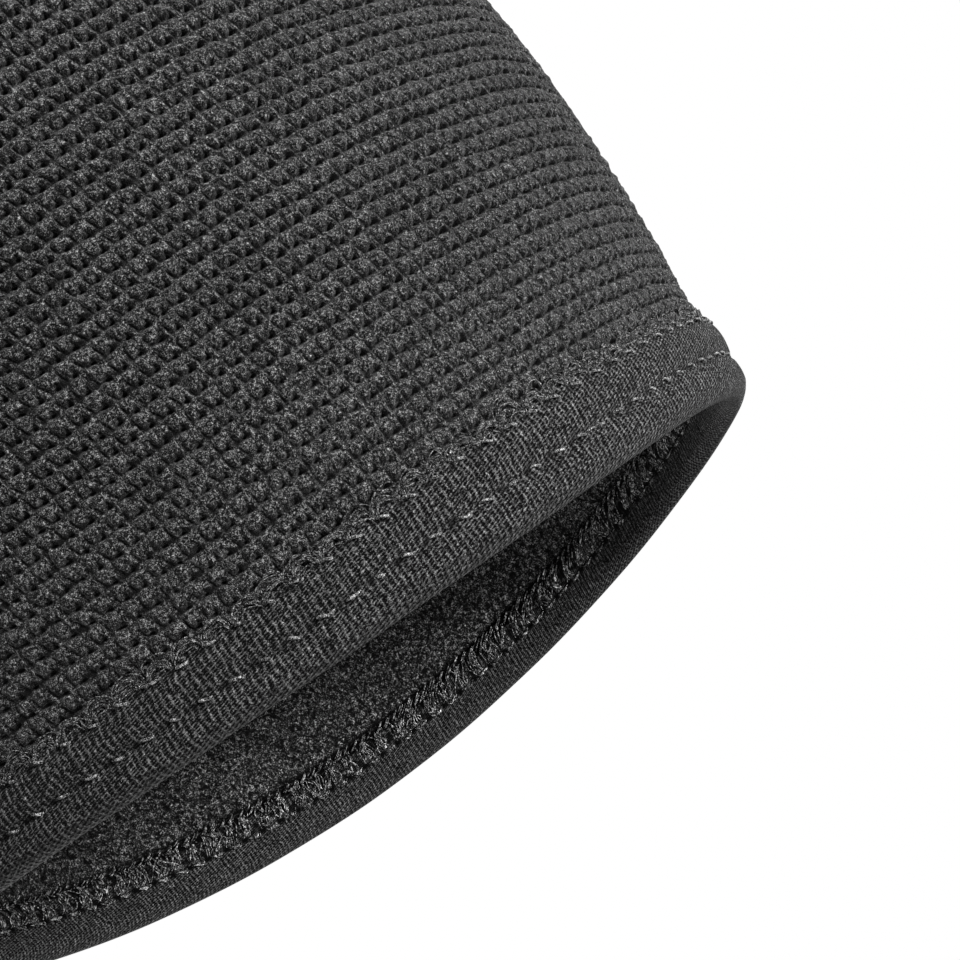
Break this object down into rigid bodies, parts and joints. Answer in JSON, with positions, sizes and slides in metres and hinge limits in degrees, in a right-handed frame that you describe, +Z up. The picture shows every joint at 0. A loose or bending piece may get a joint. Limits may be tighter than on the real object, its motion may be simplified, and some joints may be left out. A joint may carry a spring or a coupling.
{
  "type": "knee brace",
  "caption": "Pull-on knitted knee brace: a contoured elastic sleeve with bound coverstitched hems, side stays in sewn channels and a ring round the kneecap.",
  "frame": {"origin": "on the floor under the middle of the standing sleeve, midway between its widest points", "axes": "+Z up the leg from the calf hem to the thigh hem, -Y towards the front of the knee, X from side to side"},
  "size_m": [0.1222, 0.099, 0.2898],
  "materials": {
    "knit": "charcoal elastic knit, plump cells in level rows",
    "binding_tape": "charcoal folded knit tape with fine columns",
    "needle_thread": "grey textured sewing thread",
    "looper_thread": "fluffy dark grey looper thread",
    "channel_tape": "dark woven tape",
    "lining_fabric": "dark brushed lining",
    "soft_gel": "matt soft silicone",
    "spring_steel": "plated spring steel",
    "stay_tip": "dipped plastic tip"
  },
  "bodies": {
    "calf": {"calf_knit": "knit", "knee_knit": "knit", "calf_binding": "binding_tape", "calf_needle_stitches": "needle_thread", "right_channel_stitches": "needle_thread", "left_channel_stitches": "needle_thread", "lining_stitches": "needle_thread", "calf_looper_rungs": "looper_thread", "calf_cover_loops": "looper_thread", "right_channel": "channel_tape", "left_channel": "channel_tape", "kneecap_lining": "lining_fabric", "kneecap_ring": "soft_gel", "right_stay": "spring_steel", "left_stay": "spring_steel", "lower_stay_tips": "stay_tip"},
    "thigh": {"thigh_knit": "knit", "thigh_binding": "binding_tape", "thigh_needle_stitches": "needle_thread", "thigh_looper_rungs": "looper_thread", "thigh_cover_loops": "looper_thread", "upper_stay_tips": "stay_tip"}
  },
  "joints": [
    {"name": "knee_flexion", "type": "hinge", "parent": "calf", "child": "thigh", "pos_m": [0, 0.012, 0.14], "axis": [-1, 0, 0], "range_deg": [0, 110], "stiffness_Nm_per_rad": 0.6, "deforming": ["knee_knit", "right_stay", "left_stay", "right_channel", "left_channel", "right_channel_stitches", "left_channel_stitches", "kneecap_ring", "kneecap_lining", "lining_stitches"]}
  ]
}
